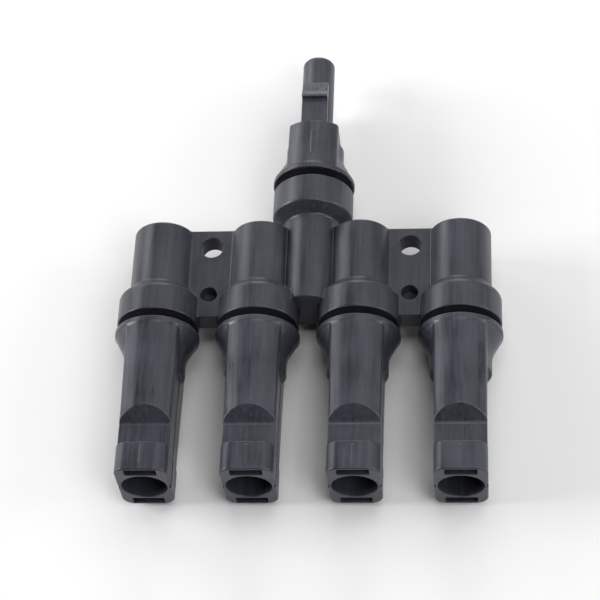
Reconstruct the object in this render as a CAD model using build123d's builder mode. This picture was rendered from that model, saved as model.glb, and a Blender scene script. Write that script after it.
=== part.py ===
# Four-to-one branch connector for solar strings.
# Four pin couplers side by side (toward -Y) are joined by a comb-shaped body
# to one latching socket coupler (toward +Y).  Millimetres, +Z up.
# Origin: middle of the footprint, at the level of the surface it lies on.
from build123d import *
import os

os.makedirs("parts", exist_ok=True)

# ---------------------------------------------------------------- dimensions
PITCH = 24.5              # between neighbouring couplers
BRANCH_X = [-1.5 * PITCH, -0.5 * PITCH, 0.5 * PITCH, 1.5 * PITCH]
AXIS_Z = 10.25            # height of every coupler axis
Y0 = -18.7                # collar front plane; Y values below count from it

COLLAR_R = 10.0
COLLAR_L = 7.9
COLLAR_BEVEL = 2.4         # bevel behind a branch collar: from Y = COLLAR_L - 0.8 down to the barrel
BARREL_R = 7.6
BARREL_END = 26.5
SOCKET_R = 7.45           # bore in a collar that takes a coupler spigot
SOCKET_DEPTH = 6.2
WEB_HALF = 2.8            # half thickness of the webs
WEB_FRONT = 1.6
MOUNT_Y = 21.55           # through holes for mounting screws
MOUNT_R = 2.8
PIN_HOLE_Y = 7.95         # blind holes left by the mould's support pins
PIN_HOLE_R = 2.05
PIN_HOLE_DEPTH = 3.4

TRUNK_R = 6.9
TRUNK_FRONT = 4.8
TRUNK_COLLAR_Y0 = 30.8
TRUNK_CONE_L = 2.2        # cone between trunk tube and trunk collar
TRUNK_COLLAR_Y1 = 38.4

FLANGE_R = 10.25
FLANGE_GAP = 2.05         # room for the rubber ring
FLANGE_L = 1.35
CONE_L = 5.1
NECK_R = 7.45
NECK_L = 5.1
SPIGOT_R = 7.4
SPIGOT_L = 6.0

NOSE_R = 9.1              # crown radius of the slab-sided nose from the windows on
NOSE_HALF = 6.15          # half width across the flats there
ROOT_R = 10.1             # crown radius at the flange (the nose is drafted)
ROOT_HALF = 6.32          # half width at the flange
TIP = 42.7                # collar plane to coupler mouth
BRIDGE_BACK = 35.4
FRAME_W = 12.5
FRAME_H = 18.3
FRAME_FILLET = 3.0
FLOOR_Z = 6.0             # window floor above the axis
RAMP_FOOT = 29.25
RAMP_TOP = 25.66
SLOT_HALF = 3.75
SLOT_TOP = 8.5
MOUTH_R = 5.37
MOUTH_DEPTH = 8.5
CHAMBER_R = 4.25
CHAMBER_END = 17.2
WEB_END = 12.0            # rear of the wall that steadies the pin
CONTACT_BORE_R = 3.35
GROOVE_HALF = 0.6         # groove along each flank
GROOVE_DEPTH = 0.35

GASKET_R = 9.8

BUS_Y0, BUS_Y1 = 13.4, 15.4
BUS_HALF = 1.5
EYE_R = 3.5
TAIL_R = 1.75
POCKET_Y0, POCKET_Y1 = 12.4, 16.9

SHROUD_END = 55.3
RIDGE_Y0, RIDGE_Y1 = 44.7, 52.0
PROBE_R = 4.12
PROBE_END = 80.1
ARM_HALF = 3.3
ARM_IN, ARM_OUT = 6.1, 7.7
HINGE_Y, HINGE_Z = 53.0, 6.9
CATCH_Y = 63.2
BARB_LAND = 1.0
BARB_Z = 8.9
ARM_TIP = 69.45


def ysec(y, x=0.0):
    """Section plane across the couplers at a distance y from the collar plane,
    centred on X = x (local y = height over the axis; extrudes toward -Y)."""
    return Plane(origin=(x, Y0 + y, AXIS_Z), x_dir=(1, 0, 0), z_dir=(0, -1, 0))


def xsec(x):
    """Lengthwise section plane at X = x (local x = Y from the collar plane,
    local y = height over the axis; extrudes toward +X)."""
    return Plane(origin=(x, Y0, AXIS_Z), x_dir=(0, 1, 0), z_dir=(1, 0, 0))


def lathe_plane(x):
    """Half-section plane of a turned piece on the coupler axis at X = x
    (local x = radius, local y = Y from the collar plane)."""
    return Plane(origin=(x, Y0, AXIS_Z), x_dir=(1, 0, 0), z_dir=(0, 0, 1))


def coupler_axis(x):
    return Axis((x, Y0, AXIS_Z), (0, 1, 0))


def draft(u):
    """Crown radius and half width of a nose at a distance u from its flange."""
    k = min(max(u / (RAMP_TOP - FLANGE_GAP - FLANGE_L), 0.0), 1.0)
    return ROOT_R + (NOSE_R - ROOT_R) * k, ROOT_HALF + (NOSE_HALF - ROOT_HALF) * k


def nose_section(plane, u):
    """Crowned slab: a circle cut by two flats, corners softened."""
    radius, half = draft(u)
    with BuildSketch(plane) as section:
        Circle(radius)
        Rectangle(2 * half, 2 * radius + 2, mode=Mode.INTERSECT)
        fillet(section.vertices(), 0.45)
    return section.sketch


# ------------------------------------------------------------ branch shells
def branch_shell(x):
    with BuildPart() as shell:
        # spigot, flange, 45 degree taper and neck
        g, f, c = FLANGE_GAP, FLANGE_GAP + FLANGE_L, FLANGE_GAP + FLANGE_L + CONE_L
        with BuildSketch(lathe_plane(x)):
            with BuildLine():
                Polyline((0, SPIGOT_L), (SPIGOT_R - 0.5, SPIGOT_L), (SPIGOT_R, SPIGOT_L - 0.5),
                         (SPIGOT_R, -g), (FLANGE_R - 0.3, -g), (FLANGE_R, -g - 0.3),
                         (FLANGE_R, -f + 0.15), (FLANGE_R - 0.2, -f - 0.1),
                         (NECK_R + 0.25, -c + 0.25), (NECK_R, -c - 0.1),
                         (NECK_R, -c - NECK_L + 0.35), (NECK_R - 0.35, -c - NECK_L),
                         (0, -c - NECK_L), close=True)
            make_face()
        revolve(axis=coupler_axis(x))
        # slab-sided nose: drafted back to the windows, then straight
        at_windows = nose_section(ysec(-RAMP_TOP, x), RAMP_TOP - f)
        loft([nose_section(ysec(-f + 0.1, x), 0.0), at_windows], ruled=True)
        extrude(at_windows, amount=BRIDGE_BACK + 0.4 - RAMP_TOP)
        # mouth frame
        with BuildSketch(ysec(-BRIDGE_BACK, x)):
            RectangleRounded(FRAME_W, FRAME_H, FRAME_FILLET)
        extrude(amount=TIP - BRIDGE_BACK)
        rim = [e for e in shell.edges() if abs(e.center().Y - (Y0 - TIP)) < 0.01]
        fillet(rim, 0.4)
        # windows: flat floor and sloped end wall, above and below
        for s in (1, -1):
            with BuildSketch(xsec(x - 8)):
                with BuildLine():
                    k = (NOSE_R - FLOOR_Z) / (RAMP_FOOT - RAMP_TOP)
                    top = 11.5
                    Polyline((-BRIDGE_BACK, s * FLOOR_Z), (-RAMP_FOOT, s * FLOOR_Z),
                             (-RAMP_FOOT + (top - FLOOR_Z) / k, s * top),
                             (-BRIDGE_BACK, s * top), close=True)
                make_face()
            extrude(amount=16, mode=Mode.SUBTRACT)
            # slot for the mating latch arm
            with BuildSketch(ysec(-BRIDGE_BACK + 0.5, x)):
                with Locations((0, s * (FLOOR_Z + SLOT_TOP) / 2)):
                    Rectangle(2 * SLOT_HALF, SLOT_TOP - FLOOR_Z)
            extrude(amount=TIP - BRIDGE_BACK + 1, mode=Mode.SUBTRACT)
            # thin rib along the middle of the bridge
            with BuildSketch(ysec(-BRIDGE_BACK - 1.2, x)):
                with Locations((0, s * (FRAME_H / 2))):
                    Rectangle(0.3, 0.24)
            extrude(amount=4.6)
        # grooves along both flanks
        for s in (1, -1):
            with BuildSketch(ysec(-c - NECK_L - 0.6, x)):
                with Locations((s * (NOSE_HALF - GROOVE_DEPTH + 1), 0)):
                    Rectangle(2, 2 * GROOVE_HALF)
            extrude(amount=TIP, mode=Mode.SUBTRACT)
        # mouth, probe chamber, wall that steadies the pin, contact bore
        with BuildSketch(lathe_plane(x)):
            with BuildLine():
                Polyline((0, -TIP - 1), (MOUTH_R + 0.25, -TIP - 1), (MOUTH_R + 0.25, -TIP), (MOUTH_R, -TIP + 0.25),
                         (MOUTH_R, -TIP + MOUTH_DEPTH), (CHAMBER_R + 0.3, -TIP + MOUTH_DEPTH),
                         (CHAMBER_R, -TIP + MOUTH_DEPTH + 0.5), (CHAMBER_R, -CHAMBER_END),
                         (2.1, -CHAMBER_END), (2.1, -WEB_END), (CONTACT_BORE_R, -WEB_END),
                         (CONTACT_BORE_R, -9.05), (3.65, -9.05), (3.65, -8.15), (CONTACT_BORE_R, -8.15),
                         (CONTACT_BORE_R, SPIGOT_L + 1), (0, SPIGOT_L + 1), close=True)
            make_face()
        revolve(axis=coupler_axis(x), mode=Mode.SUBTRACT)
    return shell


def pin_contact(x):
    pts = [(0, -31.6), (0.8, -31.6), (1.45, -31.3), (1.85, -30.7), (2.0, -29.9), (2.0, -11.95),
           (3.1, -11.95), (3.1, -9.0), (2.5, -9.0), (2.5, -8.2), (3.1, -8.2), (3.1, -4.5),
           (2.6, -4.0), (2.6, BUS_Y0 - 0.02), (TAIL_R, BUS_Y0 - 0.02), (TAIL_R, BUS_Y1 + 0.02),
           (2.6, BUS_Y1 + 0.02), (2.45, BUS_Y1 + 0.6), (1.6, BUS_Y1 + 0.95), (0, BUS_Y1 + 0.95)]
    with BuildPart() as pin:
        with BuildSketch(lathe_plane(x)):
            with BuildLine():
                Polyline(*pts, close=True)
            make_face()
        revolve(axis=coupler_axis(x))
    return pin


def gasket(x, y0, y1):
    with BuildPart() as ring:
        with BuildSketch(lathe_plane(x)):
            with BuildLine():
                Polyline((SOCKET_R, y0), (GASKET_R - 0.25, y0), (GASKET_R, y0 + 0.3),
                         (GASKET_R, y1 - 0.3), (GASKET_R - 0.25, y1), (SOCKET_R, y1), close=True)
            make_face()
        revolve(axis=coupler_axis(x))
    return ring


for n, bx in enumerate(BRANCH_X, start=1):
    shell = branch_shell(bx)
    shell.part.label = f"branch_shell_{n}"
    export_step(shell.part, f"parts/branch_shell_{n}.step")

    pin = pin_contact(bx)
    pin.part.label = f"pin_contact_{n}"
    export_step(pin.part, f"parts/pin_contact_{n}.step")

    with BuildPart() as clip:
        with BuildSketch(ysec(-8.25, bx)):
            Circle(3.58)
            Circle(2.55, mode=Mode.SUBTRACT)
            with Locations((0, 3.0)):
                Rectangle(1.1, 3.0, mode=Mode.SUBTRACT)
        extrude(amount=0.7)
    clip.part.label = f"contact_clip_{n}"
    export_step(clip.part, f"parts/contact_clip_{n}.step")

    ring = gasket(bx, -FLANGE_GAP + 0.03, -0.03)
    ring.part.label = f"branch_gasket_{n}"
    export_step(ring.part, f"parts/branch_gasket_{n}.step")


# ------------------------------------------------------------------- body
def barrel_profile(extra=0.0):
    """All tube and web sections of the comb at the busbar (inside a sketch)."""
    with Locations(*[(bx, 0) for bx in BRANCH_X]):
        Circle(BARREL_R - extra)
    Circle(TRUNK_R - extra)


def pocket_profile(gap=0.0, web_top=1.95):
    """Section of the busbar pocket, open at the bottom (inside a sketch)."""
    r, t = 5.0 - gap, 4.5 - gap
    with Locations(*[(bx, 0) for bx in BRANCH_X]):
        Circle(r)
    Circle(t)
    for bx, h in [(b, r) for b in BRANCH_X] + [(0.0, t)]:
        with Locations((bx, -4.5)):
            Rectangle(2 * h, 9.0)
    with Locations((0, (web_top - gap - 9.0) / 2)):
        Rectangle(3 * PITCH, web_top - gap + 9.0)


with BuildPart() as body_housing:
    # collars, bevelled behind
    for bx in BRANCH_X:
        with BuildSketch(lathe_plane(bx)):
            with BuildLine():
                Polyline((0, 0), (COLLAR_R, 0), (COLLAR_R, COLLAR_L - 0.8),
                         (COLLAR_R - 2.7, COLLAR_L - 0.8 + 2.7 * 2.3 / COLLAR_BEVEL),
                         (0, COLLAR_L - 0.8 + 2.7 * 2.3 / COLLAR_BEVEL), close=True)
            make_face()
        revolve(axis=coupler_axis(bx))
    with BuildSketch(lathe_plane(0)):
        k = TRUNK_CONE_L / (COLLAR_R - TRUNK_R)
        with BuildLine():
            Polyline((0, TRUNK_COLLAR_Y1), (COLLAR_R, TRUNK_COLLAR_Y1), (COLLAR_R, TRUNK_COLLAR_Y0),
                     (TRUNK_R - 0.3, TRUNK_COLLAR_Y0 - TRUNK_CONE_L - 0.3 * k),
                     (0, TRUNK_COLLAR_Y0 - TRUNK_CONE_L - 0.3 * k), close=True)
        make_face()
    revolve(axis=coupler_axis(0))
    rims = [e for e in body_housing.edges().filter_by(GeomType.CIRCLE)
            if e.radius > COLLAR_R - 0.05 and (abs(e.center().Y - Y0) < 0.01
            or abs(e.center().Y - (Y0 + TRUNK_COLLAR_Y1)) < 0.01)]
    fillet(rims, 0.35)
    # barrels, webs, trunk tube
    with BuildSketch(ysec(BARREL_END)):
        with Locations(*[(bx, 0) for bx in BRANCH_X]):
            Circle(BARREL_R)
    extrude(amount=BARREL_END - 2)
    rear = [e for e in body_housing.edges().filter_by(GeomType.CIRCLE)
            if abs(e.center().Y - (Y0 + BARREL_END)) < 0.01]
    fillet(rear, 0.8)
    for wx in (-PITCH, PITCH):
        with BuildSketch(ysec(BARREL_END)):
            with Locations((wx, 0)):
                Rectangle(PITCH, 2 * WEB_HALF)
        extrude(amount=BARREL_END - WEB_FRONT)
    with BuildSketch(ysec(BARREL_END - 0.5)):
        Rectangle(PITCH, 2 * WEB_HALF)
    extrude(amount=BARREL_END - 0.5 - TRUNK_FRONT)
    with BuildSketch(ysec(TRUNK_COLLAR_Y0 + 2)):
        Circle(TRUNK_R)
    extrude(amount=TRUNK_COLLAR_Y0 + 2 - TRUNK_FRONT)
    # mounting holes and blind support-pin holes in the outer webs
    for wx in (-PITCH, PITCH):
        with BuildSketch(Plane(origin=(wx, Y0 + MOUNT_Y, AXIS_Z + 5), z_dir=(0, 0, -1))):
            Circle(MOUNT_R)
        extrude(amount=10, mode=Mode.SUBTRACT)
        with BuildSketch(Plane(origin=(wx, Y0 + PIN_HOLE_Y, AXIS_Z + WEB_HALF + 2), z_dir=(0, 0, -1))):
            Circle(PIN_HOLE_R)
        extrude(amount=PIN_HOLE_DEPTH + 2, mode=Mode.SUBTRACT)
    # coupler sockets and contact bores
    for bx in BRANCH_X:
        with BuildSketch(lathe_plane(bx)):
            with BuildLine():
                Polyline((0, -1), (SOCKET_R, -1), (SOCKET_R, SOCKET_DEPTH), (2.7, SOCKET_DEPTH),
                         (2.7, POCKET_Y0 + 1), (0, POCKET_Y0 + 1), close=True)
            make_face()
        revolve(axis=coupler_axis(bx), mode=Mode.SUBTRACT)
    with BuildSketch(lathe_plane(0)):
        with BuildLine():
            Polyline((0, TRUNK_COLLAR_Y1 + 1), (SOCKET_R, TRUNK_COLLAR_Y1 + 1),
                     (SOCKET_R, TRUNK_COLLAR_Y1 - SOCKET_DEPTH), (2.5, TRUNK_COLLAR_Y1 - SOCKET_DEPTH),
                     (2.5, POCKET_Y1 - 1), (0, POCKET_Y1 - 1), close=True)
        make_face()
    revolve(axis=coupler_axis(0), mode=Mode.SUBTRACT)
    # busbar pocket, open underneath
    with BuildSketch(ysec(POCKET_Y1)):
        pocket_profile()
    extrude(amount=POCKET_Y1 - POCKET_Y0, mode=Mode.SUBTRACT)
body_housing.part.label = "body_housing"
export_step(body_housing.part, "parts/body_housing.step")

# lid strip that closes the pocket flush with the outside of the comb
with BuildPart() as busbar_cover:
    with BuildSketch(ysec(POCKET_Y1 - 0.08)):
        pocket_profile(gap=0.08, web_top=1.95)
        with BuildSketch(mode=Mode.PRIVATE) as outer:
            barrel_profile()
            Rectangle(3 * PITCH, 2 * WEB_HALF)
        with BuildSketch(mode=Mode.PRIVATE) as inner:
            barrel_profile(extra=1.4)
            Rectangle(3 * PITCH, 2 * (WEB_HALF - 0.85))
            with Locations((0, 6)):
                Rectangle(4 * PITCH, 12)
        add(outer.sketch, mode=Mode.INTERSECT)
        add(inner.sketch, mode=Mode.SUBTRACT)
    extrude(amount=POCKET_Y1 - POCKET_Y0 - 0.16)
busbar_cover.part.label = "busbar_cover"
export_step(busbar_cover.part, "parts/busbar_cover.step")

# stamped plate with five eyes
with BuildPart() as busbar:
    with BuildSketch(ysec(BUS_Y1)):
        with Locations(*[(bx, 0) for bx in BRANCH_X]):
            Circle(EYE_R)
        Circle(EYE_R)
        Rectangle(3 * PITCH, 2 * BUS_HALF)
        with Locations(*[(bx, 0) for bx in BRANCH_X + [0.0]]):
            Circle(TAIL_R + 0.05, mode=Mode.SUBTRACT)
    extrude(amount=BUS_Y1 - BUS_Y0)
    neck_edges = [e for e in busbar.edges().filter_by(Axis.Y)
                  if abs(abs(e.center().Z - AXIS_Z) - BUS_HALF) < 0.05]
    fillet(neck_edges, 0.8)
busbar.part.label = "busbar"
export_step(busbar.part, "parts/busbar.step")

# rod from the middle eye of the busbar to the socket contact
with BuildPart() as trunk_conductor:
    with BuildSketch(lathe_plane(0)):
        with BuildLine():
            Polyline((0, BUS_Y0 - 0.85), (1.6, BUS_Y0 - 0.85), (2.45, BUS_Y0 - 0.55), (2.6, BUS_Y0 - 0.02),
                     (TAIL_R, BUS_Y0 - 0.02), (TAIL_R, BUS_Y1 + 0.02), (2.2, BUS_Y1 + 0.02),
                     (2.2, 45.2), (1.9, 45.5), (0, 45.5), close=True)
        make_face()
    revolve(axis=coupler_axis(0))
trunk_conductor.part.label = "trunk_conductor"
export_step(trunk_conductor.part, "parts/trunk_conductor.step")

# resin that fills the pocket around the busbar
with BuildPart() as potting_resin:
    with BuildSketch(ysec(POCKET_Y1 - 0.03)):
        pocket_profile(gap=0.03)
        with BuildSketch(mode=Mode.PRIVATE) as room:
            barrel_profile(extra=1.45)
            Rectangle(3 * PITCH, 2 * (WEB_HALF - 0.9))
            with Locations((0, 6)):
                Rectangle(4 * PITCH, 12)
        add(room.sketch, mode=Mode.INTERSECT)
    extrude(amount=POCKET_Y1 - POCKET_Y0 - 0.06)
    # room for the plate
    with BuildSketch(ysec(BUS_Y1 + 0.02)):
        with Locations(*[(bx, 0) for bx in BRANCH_X + [0.0]]):
            Circle(EYE_R + 0.02)
        Rectangle(3 * PITCH, 2 * BUS_HALF + 1.0)
    extrude(amount=BUS_Y1 - BUS_Y0 + 0.04, mode=Mode.SUBTRACT)
    # room for the tails and heads
    for bx in BRANCH_X:
        with BuildSketch(ysec(POCKET_Y1 - 0.4)):
            with Locations((bx, 0)):
                Circle(2.65)
        extrude(amount=POCKET_Y1 - POCKET_Y0, mode=Mode.SUBTRACT)
    with BuildSketch(ysec(POCKET_Y1 + 0.5)):
        Circle(2.65)
    extrude(amount=POCKET_Y1 + 0.5 - (POCKET_Y0 + 0.1), mode=Mode.SUBTRACT)
potting_resin.part.label = "potting_resin"
export_step(potting_resin.part, "parts/potting_resin.step")

# ---------------------------------------------------------- trunk coupler
with BuildPart() as trunk_housing:
    g = TRUNK_COLLAR_Y1 + FLANGE_GAP
    f = g + FLANGE_L
    c = f + CONE_L
    with BuildSketch(lathe_plane(0)):
        with BuildLine():
            Polyline((0, g - 0.05 - FLANGE_GAP - SPIGOT_L + 0.05), (SPIGOT_R - 0.5, TRUNK_COLLAR_Y1 - SPIGOT_L),
                     (SPIGOT_R, TRUNK_COLLAR_Y1 - SPIGOT_L + 0.5),
                     (SPIGOT_R, g), (FLANGE_R - 0.3, g), (FLANGE_R, g + 0.3),
                     (FLANGE_R, f - 0.15), (FLANGE_R - 0.2, f + 0.1),
                     (NECK_R, c - 0.25), (NECK_R - 0.2, c + 0.1),
                     (NECK_R - 0.2, c + NECK_L - 0.35), (NECK_R - 0.5, c + NECK_L),
                     (0, c + NECK_L), close=True)
        make_face()
    revolve(axis=coupler_axis(0))
    loft([nose_section(ysec(f - 0.1), 0.0), nose_section(ysec(SHROUD_END), SHROUD_END - f)], ruled=True)
    rim = [e for e in trunk_housing.edges() if abs(e.center().Y - (Y0 + SHROUD_END)) < 0.01]
    fillet(rim, 0.4)
    # ridge along the crown, above and below
    r_a, r_b = draft(RIDGE_Y0 - f)[0], draft(RIDGE_Y1 - f)[0]
    for s in (1, -1):
        with BuildSketch(xsec(-0.35)):
            with BuildLine():
                Polyline((RIDGE_Y0, s * 9.0), (RIDGE_Y0, s * r_a), (RIDGE_Y0 + 0.2, s * (r_a + 0.18)),
                         (RIDGE_Y1 - 0.2, s * (r_b + 0.18)), (RIDGE_Y1, s * r_b), (RIDGE_Y1, s * 9.0), close=True)
            make_face()
        extrude(amount=0.7)
    # probe
    with BuildSketch(lathe_plane(0)):
        with BuildLine():
            Polyline((0, SHROUD_END - 1), (PROBE_R, SHROUD_END - 1), (PROBE_R, 56.3), (3.86, 56.4), (3.86, 58.0),
                     (PROBE_R, 58.1), (PROBE_R, PROBE_END - 1.6), (PROBE_R - 0.12, PROBE_END - 1.0),
                     (PROBE_R - 0.5, PROBE_END - 0.42), (PROBE_R - 1.05, PROBE_END - 0.08), (PROBE_R - 1.4, PROBE_END),
                     (0, PROBE_END), close=True)
        make_face()
    revolve(axis=coupler_axis(0))
    # pockets that hold the feet of the latch arms
    for s in (1, -1):
        with BuildSketch(ysec(SHROUD_END + 1)):
            with Locations((0, s * (5.6 + 7.9) / 2)):
                Rectangle(2 * ARM_HALF + 0.4, 2.3)
        extrude(amount=SHROUD_END + 1 - 52.0, mode=Mode.SUBTRACT)
    # contact chamber and entry
    with BuildSketch(lathe_plane(0)):
        with BuildLine():
            Polyline((0, 31), (3.75, 31), (3.75, 47.75), (3.95, 47.75), (3.95, 48.65), (3.75, 48.65), (3.75, 49.6),
                     (2.85, 49.6), (2.85, 77.2), (2.35, 77.2), (2.35, PROBE_END - 0.5), (2.75, PROBE_END),
                     (2.75, PROBE_END + 1), (0, PROBE_END + 1), close=True)
        make_face()
    revolve(axis=coupler_axis(0), mode=Mode.SUBTRACT)
trunk_housing.part.label = "trunk_housing"
export_step(trunk_housing.part, "parts/trunk_housing.step")

trunk_gasket = gasket(0, TRUNK_COLLAR_Y1 + 0.03, TRUNK_COLLAR_Y1 + FLANGE_GAP - 0.03)
trunk_gasket.part.label = "trunk_gasket"
export_step(trunk_gasket.part, "parts/trunk_gasket.step")

with BuildPart() as probe_o_ring:
    with BuildSketch(lathe_plane(0)):
        with Locations((4.68, 57.2)):
            Circle(0.79)
    revolve(axis=coupler_axis(0))
probe_o_ring.part.label = "probe_o_ring"
export_step(probe_o_ring.part, "parts/probe_o_ring.step")


def latch_arm(s):
    """Barbed arm above (s = 1) or below (s = -1) the probe."""
    with BuildPart() as arm:
        with BuildSketch(xsec(-ARM_HALF)):
            with BuildLine():
                Polyline((HINGE_Y, s * ARM_IN), (ARM_TIP - 0.4, s * ARM_IN), (ARM_TIP, s * (ARM_IN + 0.35)),
                         (CATCH_Y + BARB_LAND, s * BARB_Z), (CATCH_Y, s * BARB_Z), (CATCH_Y, s * ARM_OUT),
                         (HINGE_Y, s * ARM_OUT), close=True)
            make_face()
            with Locations((HINGE_Y, s * HINGE_Z)):
                Circle((ARM_OUT - ARM_IN) / 2)
        extrude(amount=2 * ARM_HALF)
        crest = [e for e in arm.edges().filter_by(Axis.X)
                 if abs(abs(e.center().Z - AXIS_Z) - BARB_Z) < 0.02 and abs(e.center().Y - (Y0 + CATCH_Y + BARB_LAND)) < 0.05]
        fillet(crest, 0.5)
        sides = [e for e in arm.edges().filter_by(Axis.Y)
                 if abs(abs(e.center().Z - AXIS_Z) - ARM_OUT) < 0.02]
        fillet(sides, 0.25)
    return arm


latch_arm_upper = latch_arm(1)
latch_arm_upper.part.label = "latch_arm_upper"
export_step(latch_arm_upper.part, "parts/latch_arm_upper.step")
latch_arm_lower = latch_arm(-1)
latch_arm_lower.part.label = "latch_arm_lower"
export_step(latch_arm_lower.part, "parts/latch_arm_lower.step")

with BuildPart() as socket_contact:
    with BuildSketch(lathe_plane(0)):
        with BuildLine():
            Polyline((2.25, 40.0), (3.05, 40.0), (3.05, 46.4), (3.6, 46.9), (3.6, 47.8), (3.0, 47.8), (3.0, 48.6),
                     (3.6, 48.6), (3.6, 49.5), (2.75, 49.5), (2.75, 76.3), (2.45, 76.8), (2.2, 76.8),
                     (2.08, 76.4), (2.08, 72.1), (2.4, 72.1), (2.4, 65.9), (2.08, 65.9), (2.08, 61.0),
                     (0, 60.0), (0, 46.2), (2.25, 45.7), close=True)
        make_face()
    revolve(axis=coupler_axis(0))
socket_contact.part.label = "socket_contact"
export_step(socket_contact.part, "parts/socket_contact.step")

with BuildPart() as contact_spring_band:
    with BuildSketch(lathe_plane(0)):
        with BuildLine():
            Polyline((2.2, 66.0), (2.37, 66.0), (2.37, 67.0), (2.2, 69.0), (2.37, 71.0), (2.37, 72.0), (2.2, 72.0),
                     (2.2, 71.0), (2.03, 69.0), (2.2, 67.0), close=True)
        make_face()
    revolve(axis=coupler_axis(0))
    # slots between the louvres
    with BuildSketch(ysec(71.0)):
        for i in range(6):
            with Locations(Rotation(0, 0, i * 30)):
                Rectangle(0.35, 6.0)
    extrude(amount=4.0, mode=Mode.SUBTRACT)
contact_spring_band.part.label = "contact_spring_band"
export_step(contact_spring_band.part, "parts/contact_spring_band.step")

with BuildPart() as trunk_contact_clip:
    with BuildSketch(ysec(48.55)):
        Circle(3.85)
        Circle(3.05, mode=Mode.SUBTRACT)
        with Locations((0, 3.5)):
            Rectangle(1.2, 3.0, mode=Mode.SUBTRACT)
    extrude(amount=0.7)
trunk_contact_clip.part.label = "trunk_contact_clip"
export_step(trunk_contact_clip.part, "parts/trunk_contact_clip.step")
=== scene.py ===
import math

import bpy
import numpy as np
from mathutils import Matrix, Vector


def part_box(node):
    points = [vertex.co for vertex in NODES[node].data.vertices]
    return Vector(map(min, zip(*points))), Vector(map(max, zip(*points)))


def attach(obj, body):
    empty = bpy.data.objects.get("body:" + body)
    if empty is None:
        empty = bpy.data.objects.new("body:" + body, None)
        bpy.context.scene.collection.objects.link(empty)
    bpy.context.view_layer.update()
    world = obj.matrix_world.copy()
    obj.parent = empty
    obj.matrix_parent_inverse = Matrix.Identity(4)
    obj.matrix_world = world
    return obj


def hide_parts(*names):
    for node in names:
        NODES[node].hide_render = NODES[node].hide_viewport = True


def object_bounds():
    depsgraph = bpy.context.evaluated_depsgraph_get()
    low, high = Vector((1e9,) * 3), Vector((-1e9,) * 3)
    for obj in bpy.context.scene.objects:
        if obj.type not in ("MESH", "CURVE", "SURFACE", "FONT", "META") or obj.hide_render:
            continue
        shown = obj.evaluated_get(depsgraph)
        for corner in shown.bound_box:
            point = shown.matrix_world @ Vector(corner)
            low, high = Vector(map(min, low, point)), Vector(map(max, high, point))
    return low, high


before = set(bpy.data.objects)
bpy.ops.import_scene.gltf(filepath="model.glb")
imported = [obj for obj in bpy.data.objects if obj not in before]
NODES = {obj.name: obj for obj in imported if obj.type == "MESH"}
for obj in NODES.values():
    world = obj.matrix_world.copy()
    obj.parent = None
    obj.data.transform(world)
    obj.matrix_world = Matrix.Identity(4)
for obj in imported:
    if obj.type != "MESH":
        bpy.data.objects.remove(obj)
CAD_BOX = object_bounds()
MM = 0.001

# ------------------------------------------------------------------ datums
# every position below comes from the frame's own boxes
_lo, _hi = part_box("branch_shell_1")
AXIS_Z = (_lo.z + _hi.z) / 2 / MM
COUPLER_X = []
for _k in range(1, 5):
    _a, _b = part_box("pin_contact_%d" % _k)
    COUPLER_X.append((_a.x + _b.x) / 2 / MM)
TIP = 42.7
Y0 = _lo.y / MM + TIP                       # collar front plane


# ------------------------------------------------------- distance functions
# Shapes are written as signed distances in millimetres with rounded
# intersections and unions, the way a moulded part is radiused everywhere,
# and then meshed.  Local frame: y from the collar front plane, z from the axis.
def both(a, b, r=0.0):
    """Intersection with its convex edge rounded to radius r."""
    if r <= 0:
        return np.maximum(a, b)
    u, v = np.maximum(r + a, 0), np.maximum(r + b, 0)
    return np.minimum(-r, np.maximum(a, b)) + np.sqrt(u * u + v * v)


def either(a, b, r=0.0):
    """Union with its inner corner filled to radius r."""
    if r <= 0:
        return np.minimum(a, b)
    u, v = np.maximum(r - a, 0), np.maximum(r - b, 0)
    return np.maximum(r, np.minimum(a, b)) - np.sqrt(u * u + v * v)


def cut(a, b, r=0.0):
    """a without b, the rim rounded to radius r."""
    return both(a, -b, r)


def span(t, lo, hi):
    return np.abs(t - (lo + hi) / 2) - (hi - lo) / 2


def tube(r, y, radius, lo, hi, r_lo=0.0, r_hi=None):
    """Cylinder along y with its two end edges rounded."""
    r_hi = r_lo if r_hi is None else r_hi
    return both(both(r - radius, lo - y, r_lo), y - hi, r_hi)


def slope(p, q, a, b):
    """Signed distance to the line through two section points a and b, positive on the left of a -> b."""
    dx, dy = b[0] - a[0], b[1] - a[1]
    n = math.hypot(dx, dy)
    return ((q - a[1]) * dx - (p - a[0]) * dy) / n


def round_box(x, z, hx, hz, r):
    qx, qz = np.abs(x) - (hx - r), np.abs(z) - (hz - r)
    return (np.sqrt(np.maximum(qx, 0) ** 2 + np.maximum(qz, 0) ** 2)
            + np.minimum(np.maximum(qx, qz), 0) - r)


def slab_nose(x, z, r, out):
    """Crowned slab, drafted: 10.1 crown and 6.32 half width at the flange, 9.1 and 6.15 at the windows; out = distance from the flange."""
    k = np.clip(out / 22.26, 0.0, 1.0)
    return both(r - (10.1 - 1.0 * k), np.abs(x) - (6.32 - 0.17 * k), 0.5)


def coupler_root(r, x, y, z, s, neck=7.45, flange_top=2.05):
    """Spigot, flange, taper and neck; s = -1 runs toward -y from y = 0, s = 1 toward +y."""
    t = s * y                                   # distance out from the collar face
    f = flange_top + 1.35
    spigot = both(both(r - 7.4, -6.0 - t, 0.5), t - f, 0.0)
    flange = both(both(r - 10.25, flange_top - t, 0.3), t - f, 0.28)
    cone = both((r - 10.02) * 0.887 + (t - f - 0.1) * 0.461, f - 0.05 - t)
    neck_d = both(both(r - neck, f - 1.0 - t), t - (f + 10.2), 0.4)
    body = either(cone, neck_d, 0.8)
    body = either(flange, body, 0.12)
    return either(spigot, body)


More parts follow.
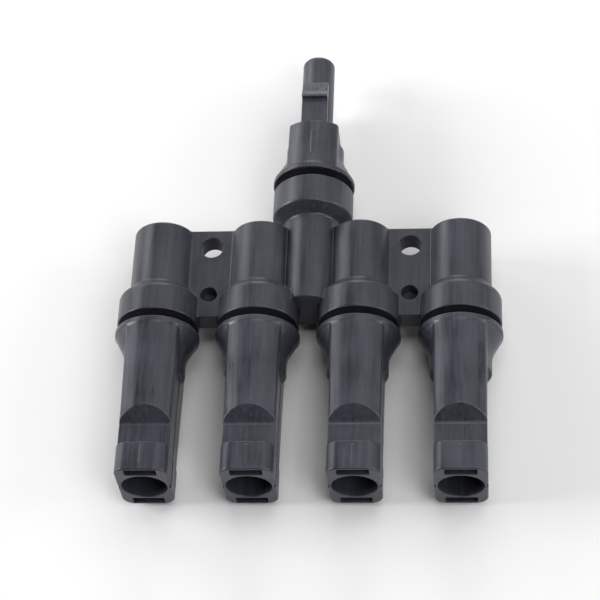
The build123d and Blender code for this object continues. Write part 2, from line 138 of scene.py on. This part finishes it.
def d_branch_shell(x, y, z):
    r = np.sqrt(x * x + z * z)
    az, ax = np.abs(z), np.abs(x)
    root = coupler_root(r, x, y, z, -1)
    # the fins left and right of the nose, where the flats meet the neck, are kept crisp
    nose = both(both(slab_nose(x, z, r, -y - 3.4), y + 3.2), -35.9 - y)
    d = both(either(root, nose, 0.4), r - 10.245)
    mouth = both(both(round_box(x, z, 6.25, 9.15, 3.0), -42.7 - y, 0.45), y + 35.4, 0.3)
    d = either(d, mouth, 0.1)
    # thin rib along the middle of each bridge
    rib = both(both(ax - 0.15, az - 9.22, 0.1), span(y, -41.1, -36.4), 0.1)
    d = either(d, both(rib, 8.6 - az), 0.3)
    # windows: flat floor, sloped end wall
    e = (y + 29.25) * -0.6536 + (az - 6.0) * 0.7569
    hole = both(both(6.0 - az, -e, 0.35), -35.4 - y, 0.2)
    # slots under the bridges
    slot = both(both(round_box(x, az - 7.25, 3.75, 1.25, 0.3), y + 33.0), -45.0 - y)
    d = cut(d, either(hole, slot), 0.16)
    # groove along each flank
    groove = both(both(az - 0.6, 5.8 - ax, 0.12), y + 14.3, 0.2)
    d = cut(d, groove, 0.12)
    # parting line in the floor of the groove
    d = either(d, both(both(az - 0.06, ax - 5.87, 0.04), span(y, -42.6, -14.6)), 0.05)
    # mouth, probe chamber, wall that steadies the pin, contact bore
    bore = both(r - 5.37, y + 34.2, 0.3)
    bore = either(bore, both(r - 4.25, span(y, -36.0, -17.2), 0.0))
    bore = either(bore, r - 2.1)
    bore = either(bore, both(r - 3.35, -12.0 - y))
    d = cut(d, bore, 0.22)
    return d


def d_trunk_housing(x, y, z):
    r = np.sqrt(x * x + z * z)
    az, ax = np.abs(z), np.abs(x)
    t = y - 38.4
    root = coupler_root(r, x, t, z, 1, neck=7.25)
    nose = both(both(slab_nose(x, z, r, t - 3.4), 3.2 - t), y - 55.3, 0.4)
    d = both(either(root, nose, 0.4), r - 10.245)
    ridge = both(both(ax - 0.32, az - (10.13 - 0.045 * (y - 44.9)), 0.15), span(y, 44.7, 52.0), 0.3)
    d = either(d, both(ridge, 8.6 - az), 0.2)
    # pockets that hold the feet of the latch arms
    pocket = both(round_box(x, az - 6.75, 3.5, 1.15, 0.15), 52.0 - y)
    d = cut(d, pocket, 0.2)
    # probe with a seat for its seal and a domed end
    probe = both(both(r - 4.12, 50.0 - y), y - 80.09, 1.35)
    d = either(d, probe, 0.25)
    seat = both(both(3.86 - r, span(y, 56.3, 58.1)), r - 4.6)
    d = cut(d, seat, 0.1)
    bore = both(r - 3.75, y - 49.6)
    bore = either(bore, both(r - 2.85, y - 77.2))
    bore = either(bore, r - 2.35)
    d = cut(d, bore, 0.3)
    return d


def d_body(x, y, z):
    az = np.abs(z)
    f1, f2, f3 = [np.full(x.shape, 1e3, x.dtype) for _ in range(3)]
    for cx in COUPLER_X[2:]:
        r = np.sqrt((np.abs(x) - cx) ** 2 + z * z)
        bevel = both(r - 10.0, (r - 10.0) * 0.692 + (y - 7.1) * 0.722, 0.5)
        collar = both(bevel, -y, 0.35)
        barrel = both(both(r - 7.6, 2.0 - y), y - 26.5, 0.8)
        f1 = np.minimum(f1, collar)
        f2 = np.minimum(f2, barrel)
    r0 = np.sqrt(x * x + z * z)
    web = both(both(az - 2.8, 1.6 - y, 0.3), y - 26.5, 0.3)
    web = both(web, span(np.abs(x), 12.25, 36.75))
    mid = both(both(az - 2.8, 4.8 - y, 0.3), y - 26.0, 0.3)
    mid = both(mid, np.abs(x) - 12.25)
    trunk = tube(r0, y, 6.9, 4.8, 33.0, 0.45)
    d = either(f2, np.minimum(web, mid), 0.45)
    d = either(d, trunk, 0.45)
    d = either(d, f1, 0.35)
    rear = both(both(r0 - 10.0, (r0 - 10.0) * 0.579 - (y - 30.8) * 0.816, 0.35), y - 38.4, 0.35)
    d = either(d, rear, 0.35)
    # mounting holes and the blind holes in front of them
    hx = np.abs(np.abs(x) - 24.5)
    hole = np.sqrt(hx * hx + (y - 21.55) ** 2) - 2.8
    d = cut(d, hole, 0.3)
    pin = both(np.sqrt(hx * hx + (y - 7.95) ** 2) - 2.05, -0.6 - z)
    d = cut(d, pin, 0.2)
    # sockets and bores
    for cx in COUPLER_X[2:]:
        r = np.sqrt((np.abs(x) - cx) ** 2 + z * z)
        bore = either(both(r - 7.45, y - 6.2), both(r - 2.7, y - 13.4))
        d = cut(d, bore, 0.12)
    bore = either(both(r0 - 7.45, 32.2 - y), both(r0 - 2.5, 15.9 - y))
    d = cut(d, bore, 0.12)
    # busbar pocket, open underneath
    w = np.full(x.shape, 1e3, x.dtype)
    for cx, rr in [(c, 5.0) for c in COUPLER_X[2:]] + [(0.0, 4.5)]:
        dx = np.abs(np.abs(x) - cx)
        w = np.minimum(w, np.sqrt(dx * dx + z * z) - rr)
        w = np.minimum(w, both(dx - rr, z))
    w = np.minimum(w, both(np.abs(x) - 36.75, z - 1.95))
    pocket = both(w, span(y, 12.4, 16.9))
    d = cut(d, pocket, 0.06)
    return d


def d_latch(x, y, z):
    """Upper arm: strip with a catch face and a ramp; tip toward +y."""
    bar = both(both(z - 7.7, 6.1 - z, 0.12), y - 69.35, 0.3)
    foot = np.sqrt((y - 53.0) ** 2 + (z - 6.9) ** 2) - 0.8
    bar = either(both(bar, 53.0 - y), foot)
    barb = both(both(z - 8.9, 63.2 - y, 0.12), 6.3 - z)
    ramp = slope(y, z, (64.2, 8.9), (69.45, 6.45))
    d = either(bar, barb, 0.2)
    d = both(d, ramp, 0.35)
    return both(d, np.abs(x) - 3.3, 0.25)


# ---------------------------------------------------------------- mesher
def gradient(f, p, eps=0.02):
    g = np.empty_like(p)
    for i in range(3):
        a, b = p.copy(), p.copy()
        a[:, i] += eps
        b[:, i] -= eps
        g[:, i] = (f(a[:, 0], a[:, 1], a[:, 2]) - f(b[:, 0], b[:, 1], b[:, 2])) / (2 * eps)
    return g


def surface(f, lo, hi, h, mirror_x=False, mirror_z=False):
    """Surface nets: quads on the zero level of f between lo and hi at a step h, in millimetres.
    Mirrored axes are evaluated on their positive half only."""
    ax = []
    for i, m in enumerate((mirror_x, False, mirror_z)):
        if m:
            n = int(math.ceil(hi[i] / h)) + 1
            ax.append((np.arange(n) + 0.5) * h)
        else:
            n = int(math.ceil((hi[i] - lo[i]) / h)) + 2
            ax.append(lo[i] - 0.5 * h + np.arange(n) * h)
    X, Y, Z = np.meshgrid(*[a.astype(np.float32) for a in ax], indexing="ij")
    V = f(X, Y, Z).astype(np.float32)
    del X, Y, Z
    if mirror_x:
        V = np.concatenate([V[::-1], V], axis=0)
        ax[0] = np.concatenate([-ax[0][::-1], ax[0]])
    if mirror_z:
        V = np.concatenate([V[:, :, ::-1], V], axis=2)
        ax[2] = np.concatenate([-ax[2][::-1], ax[2]])
    I = V < 0
    c = np.zeros(tuple(s - 1 for s in V.shape), np.uint8)
    for i in (0, 1):
        for j in (0, 1):
            for k in (0, 1):
                c += I[i:I.shape[0] - 1 + i, j:I.shape[1] - 1 + j, k:I.shape[2] - 1 + k]
    active = (c > 0) & (c < 8)
    idx = np.argwhere(active)
    number = np.full(active.shape, -1, np.int32)
    number[active] = np.arange(len(idx), dtype=np.int32)
    corners = [(i, j, k) for i in (0, 1) for j in (0, 1) for k in (0, 1)]
    val = np.stack([V[idx[:, 0] + i, idx[:, 1] + j, idx[:, 2] + k] for i, j, k in corners], 1).astype(float)
    acc, cnt = np.zeros((len(idx), 3)), np.zeros(len(idx))
    for a in range(8):
        for b in range(a + 1, 8):
            ca, cb = np.array(corners[a]), np.array(corners[b])
            if np.abs(ca - cb).sum() != 1:
                continue
            va, vb = val[:, a], val[:, b]
            hit = (va < 0) != (vb < 0)
            t = np.where(hit, va / np.where(hit, va - vb, 1.0), 0.0)
            acc += np.where(hit[:, None], ca + t[:, None] * (cb - ca), 0.0)
            cnt += hit
    pos = (idx + acc / cnt[:, None]) * h + np.array([a[0] for a in ax])
    quads = []
    for d in range(3):
        u, w = (d + 1) % 3, (d + 2) % 3
        sl = [slice(None)] * 3
        sl[d] = slice(0, V.shape[d] - 1)
        s2 = [slice(None)] * 3
        s2[d] = slice(1, V.shape[d])
        inside, after = I[tuple(sl)], I[tuple(s2)]
        cross = inside != after
        e = np.argwhere(cross)
        keep = (e[:, u] > 0) & (e[:, w] > 0) & (e[:, u] < V.shape[u] - 1) & (e[:, w] < V.shape[w] - 1)
        e = e[keep]
        first = inside[e[:, 0], e[:, 1], e[:, 2]]
        q = []
        for du, dw in ((0, 0), (-1, 0), (-1, -1), (0, -1)):
            k = e.copy()
            k[:, u] += du
            k[:, w] += dw
            q.append(number[k[:, 0], k[:, 1], k[:, 2]])
        q = np.stack(q, 1)
        q[~first] = q[~first][:, ::-1]
        quads.append(q)
    quads = np.concatenate(quads)
    return snap(f, pos, h), quads


def snap(f, p, h):
    """Moves points onto the zero level along the gradient, at most half a step."""
    start = p.copy()
    for _ in range(3):
        g = gradient(f, p)
        n2 = np.maximum((g * g).sum(1), 1e-6)
        step = -(f(p[:, 0], p[:, 1], p[:, 2]) / n2)[:, None] * g
        p = p + np.clip(step, -0.4 * h, 0.4 * h)
        p = start + np.clip(p - start, -0.7 * h, 0.7 * h)
    return p


def new_mesh(name, verts, faces):
    me = bpy.data.meshes.new(name)
    me.vertices.add(len(verts))
    me.vertices.foreach_set("co", np.asarray(verts, np.float32).ravel())
    n = faces.shape[1]
    me.loops.add(len(faces) * n)
    me.loops.foreach_set("vertex_index", faces.astype(np.int32).ravel())
    me.polygons.add(len(faces))
    me.polygons.foreach_set("loop_start", (np.arange(len(faces)) * n).astype(np.int32))
    me.update(calc_edges=True)
    me.validate()
    return me


def piece(name, me, material, body, slot, *nodes):
    o = bpy.data.objects.new(name, me)
    bpy.context.scene.collection.objects.link(o)
    me.materials.clear()
    me.materials.append(material)
    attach(o, body)
    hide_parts(*nodes)
    return o


def moulded(name, f, lo, hi, h, keep, mirror_x=False, mirror_z=False, shift=(0, 0, 0), edge_reach=0.25):
    """Meshes f, thins it out where it is flat, and gives it the surface's own normals and an edge attribute along its
    convex edges, used for rubbed wear and for painted edge highlights.
    """
    verts, quads = surface(f, lo, hi, h, mirror_x, mirror_z)
    me = new_mesh(name + ".grid", verts, quads)
    tmp = bpy.data.objects.new(name + ".grid", me)
    bpy.context.scene.collection.objects.link(tmp)
    dec = tmp.modifiers.new("thin", "DECIMATE")
    dec.decimate_type = "COLLAPSE"
    dec.ratio = keep
    dec.use_collapse_triangulate = True
    dg = bpy.context.evaluated_depsgraph_get()
    out = bpy.data.meshes.new_from_object(tmp.evaluated_get(dg))
    out.name = name
    bpy.data.objects.remove(tmp)
    bpy.data.meshes.remove(me)
    co = np.empty(len(out.vertices) * 3, np.float32)
    out.vertices.foreach_get("co", co)
    p = co.reshape(-1, 3).astype(float)
    p = snap(f, p, h)
    n = gradient(f, p)
    n /= np.maximum(np.linalg.norm(n, axis=1), 1e-9)[:, None]
    # edge measure for rubbed wear and painted edge highlights: how far the surface falls away from its tangent plane a
    # little way off, so only convex edges count
    edge = np.zeros(len(p))
    t1 = np.cross(n, np.where(np.abs(n[:, :1]) < 0.8, [[1.0, 0, 0]], [[0, 1.0, 0]]))
    t1 /= np.linalg.norm(t1, axis=1)[:, None]
    t2 = np.cross(n, t1)
    for k in range(8):
        a = k * math.pi / 4
        q = p + edge_reach * (math.cos(a) * t1 + math.sin(a) * t2)
        edge += np.clip(f(q[:, 0], q[:, 1], q[:, 2]), -edge_reach, edge_reach)
    edge = np.clip(edge / (8 * edge_reach) * 2.2, 0, 1)
    place = (p + np.array([shift[0], Y0, AXIS_Z]) + np.array([0, shift[1], shift[2]])) * MM
    out.vertices.foreach_set("co", place.astype(np.float32).ravel())
    att = out.attributes.new("edge", "FLOAT", "POINT")
    att.data.foreach_set("value", edge.astype(np.float32))
    out.polygons.foreach_set("use_smooth", np.ones(len(out.polygons), bool))
    out.update()
    out.normals_split_custom_set_from_vertices(n.tolist())
    return out


def copied(me, name, dx):
    """The same mesh for the next coupler, dx millimetres along X."""
    out = me.copy()
    out.name = name
    out.transform(Matrix.Translation((dx * MM, 0, 0)))
    return out


def lathe(name, profile, x0, segments=128, closed=True):
    """Turned ring about a coupler axis; profile holds (radius, y) in millimetres."""
    prof = np.array(profile, float)
    n, m = len(prof), segments
    ang = np.arange(m) * 2 * math.pi / m
    v = np.stack([np.outer(np.cos(ang), prof[:, 0]) + x0,
                  np.tile(prof[:, 1] + Y0, (m, 1)),
                  np.outer(np.sin(ang), prof[:, 0]) + AXIS_Z], -1).reshape(-1, 3) * MM
    quads = []
    for i in range(m):
        j = (i + 1) % m
        for k in range(n if closed else n - 1):
            l = (k + 1) % n
            quads.append((i * n + k, j * n + k, j * n + l, i * n + l))
    me = new_mesh(name, v, np.array(quads))
    me.polygons.foreach_set("use_smooth", np.ones(len(me.polygons), bool))
    att = me.attributes.new("edge", "FLOAT", "POINT")
    att.data.foreach_set("value", np.zeros(len(me.vertices), np.float32))
    return me


# -------------------------------------------------------------- materials
def graph(name):
    m = bpy.data.materials.new(name)
    m.use_nodes = True
    nt = m.node_tree
    for n in list(nt.nodes):
        if n.type not in ("BSDF_PRINCIPLED", "OUTPUT_MATERIAL"):
            nt.nodes.remove(n)
    return m, nt, nt.nodes["Principled BSDF"]


def node(nt, kind, **values):
    n = nt.nodes.new(kind)
    for k, v in values.items():
        if hasattr(n, k):
            setattr(n, k, v)
        else:
            n.inputs[k.replace("_", " ")].default_value = v
    return n


def coords(nt, stretch=(1, 1, 1)):
    t = node(nt, "ShaderNodeTexCoord")
    m = node(nt, "ShaderNodeMapping")
    m.inputs["Scale"].default_value = stretch
    nt.links.new(t.outputs["Object"], m.inputs["Vector"])
    return m.outputs["Vector"]


def noise(nt, vec, scale, detail=3.0, rough=0.5):
    n = node(nt, "ShaderNodeTexNoise")
    n.inputs["Scale"].default_value = scale
    n.inputs["Detail"].default_value = detail
    n.inputs["Roughness"].default_value = rough
    nt.links.new(vec, n.inputs["Vector"])
    return n.outputs["Fac"]


def ramp(nt, value, a, b, lo=0.0, hi=1.0):
    n = node(nt, "ShaderNodeMapRange")
    n.inputs["From Min"].default_value = a
    n.inputs["From Max"].default_value = b
    n.inputs["To Min"].default_value = lo
    n.inputs["To Max"].default_value = hi
    nt.links.new(value, n.inputs["Value"])
    return n.outputs["Result"]


def maths(nt, op, a, b=None, clamp=False):
    n = node(nt, "ShaderNodeMath")
    n.operation = op
    n.use_clamp = clamp
    for i, v in enumerate((a, b)):
        if v is None:
            continue
        if isinstance(v, (int, float)):
            n.inputs[i].default_value = v
        else:
            nt.links.new(v, n.inputs[i])
    return n.outputs[0]


def blend_rgb(nt, fac, a, b):
    n = node(nt, "ShaderNodeMix")
    n.data_type = "RGBA"
    if isinstance(fac, float):
        n.inputs[0].default_value = fac
    else:
        nt.links.new(fac, n.inputs[0])
    for i, c in ((6, a), (7, b)):
        if isinstance(c, tuple):
            n.inputs[i].default_value = (*c, 1)
        else:
            nt.links.new(c, n.inputs[i])
    return n.outputs[2]


def bump(nt, bsdf, height, strength, distance, under=None):
    b = node(nt, "ShaderNodeBump")
    b.inputs["Strength"].default_value = strength
    b.inputs["Distance"].default_value = distance
    nt.links.new(height, b.inputs["Height"])
    if under is not None:
        nt.links.new(under, b.inputs["Normal"])
    nt.links.new(b.outputs["Normal"], bsdf.inputs["Normal"])
    return b.outputs["Normal"]


def plastic(name, base=0.030, rough=0.36, tint=(0.92, 0.96, 1.25), seed=0.0):
    """Moulded black nylon: fine spark-eroded grain, faint flow streaks along the mould, convex edges painted lighter as
    rubbed wear and as painted edge highlights, a little dust.
    """
    m, nt, bsdf = graph(name)
    vec = coords(nt)
    off = node(nt, "ShaderNodeVectorMath")
    off.operation = "ADD"
    off.inputs[1].default_value = (seed, seed * 0.7, seed * 0.3)
    nt.links.new(vec, off.inputs[0])
    vec = off.outputs[0]
    cloud = noise(nt, vec, 90, 4)                       # 10 mm patches
    fine = noise(nt, vec, 1400, 3)                      # 0.7 mm mottling
    long = coords(nt, (1.0, 0.12, 1.0))
    flow = noise(nt, long, 420, 3)                      # streaks along the pull direction
    drawn = noise(nt, coords(nt, (1.0, 0.06, 1.0)), 1300, 3)   # fine draw marks left by the mould
    dark = tuple(base * 0.74 * t for t in tint)
    light = tuple(base * 1.34 * t for t in tint)
    col = blend_rgb(nt, ramp(nt, cloud, 0.35, 0.65), dark, light)
    col = blend_rgb(nt, ramp(nt, fine, 0.40, 0.75, 0.0, 0.35), col, tuple(base * 1.5 * t for t in tint))
    col = blend_rgb(nt, ramp(nt, drawn, 0.42, 0.72, 0.0, 0.5), col, tuple(base * 2.0 * t for t in tint))
    edge = node(nt, "ShaderNodeAttribute")
    edge.attribute_name = "edge"
    # convex edges painted lighter and rougher: partly rubbed wear, partly a painted highlight along the edges
    edge_wear_and_highlight = maths(nt, "MULTIPLY", ramp(nt, edge.outputs["Fac"], 0.18, 0.75), ramp(nt, noise(nt, vec, 600, 4), 0.38, 0.66), True)
    col = blend_rgb(nt, maths(nt, "MULTIPLY", edge_wear_and_highlight, 0.55), col, (base * 3.1, base * 3.1, base * 3.3))
    speck = ramp(nt, noise(nt, vec, 5200, 2, 0.6), 0.70, 0.80)
    col = blend_rgb(nt, maths(nt, "MULTIPLY", speck, 0.35), col, (0.16, 0.155, 0.15))
    nt.links.new(col, bsdf.inputs["Base Color"])
    r = ramp(nt, cloud, 0.3, 0.7, rough - 0.035, rough + 0.035)
    r = maths(nt, "ADD", r, ramp(nt, flow, 0.35, 0.65, -0.055, 0.055))
    r = maths(nt, "ADD", r, ramp(nt, drawn, 0.35, 0.65, -0.04, 0.04))
    r = maths(nt, "ADD", r, maths(nt, "MULTIPLY", edge_wear_and_highlight, 0.10), True)
    nt.links.new(r, bsdf.inputs["Roughness"])
    bsdf.inputs["IOR"].default_value = 1.5
    bsdf.inputs["Specular Tint"].default_value = (0.91, 0.945, 1.0, 1)
    bsdf.inputs["Specular IOR Level"].default_value = 0.53
    grain = noise(nt, vec, 9000, 2, 0.6)                # 0.1 mm grain
    n1 = bump(nt, bsdf, grain, 0.28, 0.00002)
    bump(nt, bsdf, maths(nt, "ADD", flow, maths(nt, "MULTIPLY", cloud, 1.5)), 0.10, 0.00006, n1)
    return m


def rubber(name, base=0.003):
    m, nt, bsdf = graph(name)
    vec = coords(nt)
    cloud = noise(nt, vec, 260, 4)
    bloom = noise(nt, vec, 2600, 3)
    col = blend_rgb(nt, ramp(nt, cloud, 0.35, 0.7), (base, base, base * 1.3), (base * 1.7, base * 1.75, base * 2.3))
    col = blend_rgb(nt, ramp(nt, bloom, 0.55, 0.8, 0, 0.25), col, (0.010, 0.010, 0.013))
    nt.links.new(col, bsdf.inputs["Base Color"])
    nt.links.new(ramp(nt, bloom, 0.3, 0.7, 0.82, 0.95), bsdf.inputs["Roughness"])
    bsdf.inputs["Specular IOR Level"].default_value = 0.06
    bsdf.inputs["IOR"].default_value = 1.45
    bump(nt, bsdf, noise(nt, vec, 5200, 3), 0.35, 0.00003)
    return m


def metal(name, colour, rough, streak=(1, 0.06, 1), tarnish=(0.5, 0.48, 0.44)):
    """Turned and plated metal: tool marks round the axis, light tarnish."""
    m, nt, bsdf = graph(name)
    vec = coords(nt)
    lines = noise(nt, coords(nt, (0.15, 1.0, 0.15)), 6000, 2)
    cloud = noise(nt, vec, 300, 4)
    col = blend_rgb(nt, ramp(nt, cloud, 0.45, 0.75, 0.0, 0.45), colour, tarnish)
    nt.links.new(col, bsdf.inputs["Base Color"])
    bsdf.inputs["Metallic"].default_value = 1.0
    nt.links.new(maths(nt, "ADD", ramp(nt, lines, 0.3, 0.7, rough - 0.06, rough + 0.08), ramp(nt, cloud, 0.4, 0.8, 0.0, 0.12)), bsdf.inputs["Roughness"])
    bump(nt, bsdf, lines, 0.25, 0.00001)
    return m


def resin(name):
    m, nt, bsdf = graph(name)
    vec = coords(nt)
    cloud = noise(nt, vec, 220, 4)
    nt.links.new(blend_rgb(nt, cloud, (0.012, 0.012, 0.014), (0.03, 0.03, 0.032)), bsdf.inputs["Base Color"])
    nt.links.new(ramp(nt, cloud, 0.3, 0.7, 0.18, 0.3), bsdf.inputs["Roughness"])
    bump(nt, bsdf, noise(nt, vec, 500, 2), 0.2, 0.0001)
    return m


M_BODY = plastic("body_plastic", 0.030, 0.37, seed=0.0)
M_SHELL = plastic("coupler_plastic", 0.032, 0.35, seed=0.31)
M_LATCH = plastic("latch_plastic", 0.033, 0.33, seed=0.57)
M_COVER = plastic("cover_plastic", 0.027, 0.42, seed=0.83)
M_RUBBER = rubber("seal_rubber")
M_TIN = metal("tin_plate", (0.72, 0.71, 0.68), 0.28)
M_COPPER = metal("bare_copper", (0.78, 0.42, 0.27), 0.33, tarnish=(0.42, 0.22, 0.14))
M_STEEL = metal("spring_steel", (0.60, 0.60, 0.62), 0.25)
M_RESIN = resin("cast_resin")

# ------------------------------------------------------------------ pieces
BOX = 10.6
shell = moulded("branch_shell_1_moulded", d_branch_shell, (-BOX, -43.0, -BOX), (BOX, 6.4, BOX), 0.145, 0.30,
                mirror_x=True, mirror_z=True, shift=(COUPLER_X[0], 0, 0))
for k in range(1, 5):
    me = shell if k == 1 else copied(shell, "branch_shell_%d_moulded" % k, COUPLER_X[k - 1] - COUPLER_X[0])
    piece("branch_shell_%d_moulded" % k, me, M_SHELL, "housing", "black_plastic", "branch_shell_%d" % k)

trunk = moulded("trunk_housing_moulded", d_trunk_housing, (-BOX, 32.0, -BOX), (BOX, 80.5, BOX), 0.145, 0.30,
                mirror_x=True, mirror_z=True)
piece("trunk_housing_moulded", trunk, M_SHELL, "housing", "black_plastic", "trunk_housing")

body = moulded("body_housing_moulded", d_body, (0, -0.3, -BOX), (47.2, 38.8, BOX), 0.17, 0.175, mirror_x=True)
piece("body_housing_moulded", body, M_BODY, "housing", "black_plastic", "body_housing")

arm = moulded("latch_arm_upper_moulded", d_latch, (-3.6, 51.8, 5.7), (3.6, 69.8, 9.4), 0.09, 0.45, mirror_x=True, edge_reach=0.2)
piece("latch_arm_upper_moulded", arm, M_LATCH, "latch_upper", "black_plastic", "latch_arm_upper")
arm_low = moulded("latch_arm_lower_moulded", lambda x, y, z: d_latch(x, y, -z), (-3.6, 51.8, -9.4), (3.6, 69.8, -5.7), 0.09, 0.45,
                  mirror_x=True, edge_reach=0.2)
piece("latch_arm_lower_moulded", arm_low, M_LATCH, "latch_lower", "black_plastic", "latch_arm_lower")


def ring_profile(y0, y1, r_in=7.46, r_out=9.8):
    """Flat rubber ring squeezed between two faces: its rim bulges and its corners are round."""
    mid, half = (y0 + y1) / 2, (y1 - y0) / 2
    pts = [(r_in, y0 + 0.1), (r_in + 0.12, y0)]
    for i in range(15):
        a = -math.pi / 2 + math.pi * i / 14
        pts.append((r_out - 0.55 + 0.55 * abs(math.cos(a)) ** 0.75, mid + half * math.sin(a)))
    pts += [(r_in + 0.12, y1), (r_in, y1 - 0.1)]
    return pts


for k in range(1, 5):
    piece("branch_gasket_%d_moulded" % k, lathe("branch_gasket_%d_moulded" % k, ring_profile(-2.02, -0.03), COUPLER_X[k - 1]),
          M_RUBBER, "housing", "seal_rubber", "branch_gasket_%d" % k)
piece("trunk_gasket_moulded", lathe("trunk_gasket_moulded", ring_profile(38.43, 40.42), 0.0),
      M_RUBBER, "housing", "seal_rubber", "trunk_gasket")
piece("probe_o_ring_moulded",
      lathe("probe_o_ring_moulded", [(4.68 + 0.79 * math.cos(a), 57.2 + 0.79 * math.sin(a)) for a in np.arange(28) * 2 * math.pi / 28], 0.0, 144),
      M_RUBBER, "housing", "seal_rubber", "probe_o_ring")

# ------------------------------------------------- CAD nodes that carry over
KEPT = {"busbar_cover": M_COVER, "potting_resin": M_RESIN, "busbar": M_COPPER, "trunk_conductor": M_COPPER,
        "socket_contact": M_TIN, "contact_spring_band": M_STEEL, "trunk_contact_clip": M_STEEL}
for k in range(1, 5):
    KEPT["pin_contact_%d" % k] = M_TIN
    KEPT["contact_clip_%d" % k] = M_STEEL
for name, mat in KEPT.items():
    o = NODES[name]
    if not o.material_slots:
        o.data.materials.append(mat)
    for s in o.material_slots:
        s.link = "OBJECT"
        s.material = mat

# ------------------------------------------------------------ floor, lights
def stage_floor():
    n, size = 48, 3.0
    verts, faces = [], []
    for i in range(n + 1):
        for j in range(n + 1):
            verts.append((size * (i / n - 0.5), size * (j / n - 0.5), -0.0002))
    for i in range(n):
        for j in range(n):
            a = i * (n + 1) + j
            faces.append((a, a + n + 1, a + n + 2, a + 1))
    me = new_mesh("floor", np.array(verts), np.array(faces))
    o = bpy.data.objects.new("floor", me)
    bpy.context.scene.collection.objects.link(o)
    m, nt, bsdf = graph("floor_white")
    vec = coords(nt)
    col = blend_rgb(nt, noise(nt, vec, 6, 3), (0.86, 0.86, 0.86), (0.90, 0.90, 0.90))
    nt.links.new(col, bsdf.inputs["Base Color"])
    bsdf.inputs["Roughness"].default_value = 0.7
    me.materials.append(m)


stage_floor()


def area(name, location, aim, size, power, colour=(1, 1, 1)):
    l = bpy.data.lights.new(name, "AREA")
    l.shape = "RECTANGLE"
    l.size, l.size_y = size
    l.energy = power
    l.color = colour
    o = bpy.data.objects.new(name, l)
    bpy.context.scene.collection.objects.link(o)
    o.location = location
    o.rotation_mode = "QUATERNION"
    o.rotation_quaternion = (Vector(aim) - Vector(location)).to_track_quat("-Z", "Y")
    return o


# softboxes on a dome of 0.95 m: name, direction round the object in degrees (0 = +X, 90 = +Y), height in degrees, watts
SOFTBOXES = [("key_left_low", 180, 22, 7.14), ("side_right_low", 0, 22, 3.06), ("back_left_low", 135, 22, 2.24),
             ("back_low", 90, 22, 2.07), ("front_right_high", 315, 50, 2.51), ("overhead", 0, 85, 1.79),
             ("back_right_high", 45, 50, 0.85), ("back_high", 90, 50, 0.58), ("front_right_low", 315, 22, 0.55),
             ("back_right_low", 45, 22, 0.35)]
for _name, _az, _el, _watts in SOFTBOXES:
    _a, _e = math.radians(_az), math.radians(_el)
    area(_name, (0.95 * math.cos(_a) * math.cos(_e), 0.95 * math.sin(_a) * math.cos(_e), 0.95 * math.sin(_e)), (0, 0, 0), (0.45, 0.45), _watts * 1.05)

world = bpy.data.worlds.new("studio")
bpy.context.scene.world = world
world.use_nodes = True
wn = world.node_tree.nodes["Background"]
wn.inputs["Color"].default_value = (0.95, 0.96, 1.0, 1)
wn.inputs["Strength"].default_value = 0.01

# ------------------------------------------------------------------ camera
cam = bpy.data.cameras.new("camera")
cam.sensor_width = 36.0
cam.lens = 119.386
cam.clip_start, cam.clip_end = 0.05, 10.0
cam_o = bpy.data.objects.new("camera", cam)
bpy.context.scene.collection.objects.link(cam_o)
CENTRE = (CAD_BOX[0] + CAD_BOX[1]) / 2
target = Vector((CENTRE.x - 0.00233, CENTRE.y - 0.01091, AXIS_Z * MM))
az, el, roll, dist = math.radians(10.07), math.radians(58.25), math.radians(-9.21), 0.4860
back = Vector((math.sin(az) * math.cos(el), -math.cos(az) * math.cos(el), math.sin(el)))
fwd = -back
right = fwd.cross(Vector((0, 0, 1))).normalized()
up = right.cross(fwd)
r2 = math.cos(roll) * right + math.sin(roll) * up
u2 = -math.sin(roll) * right + math.cos(roll) * up
place = target + back * dist
cam_o.matrix_world = Matrix((
    (r2.x, u2.x, -fwd.x, place.x),
    (r2.y, u2.y, -fwd.y, place.y),
    (r2.z, u2.z, -fwd.z, place.z),
    (0, 0, 0, 1)))
bpy.context.scene.camera = cam_o
bpy.context.scene.view_settings.view_transform = "Standard"
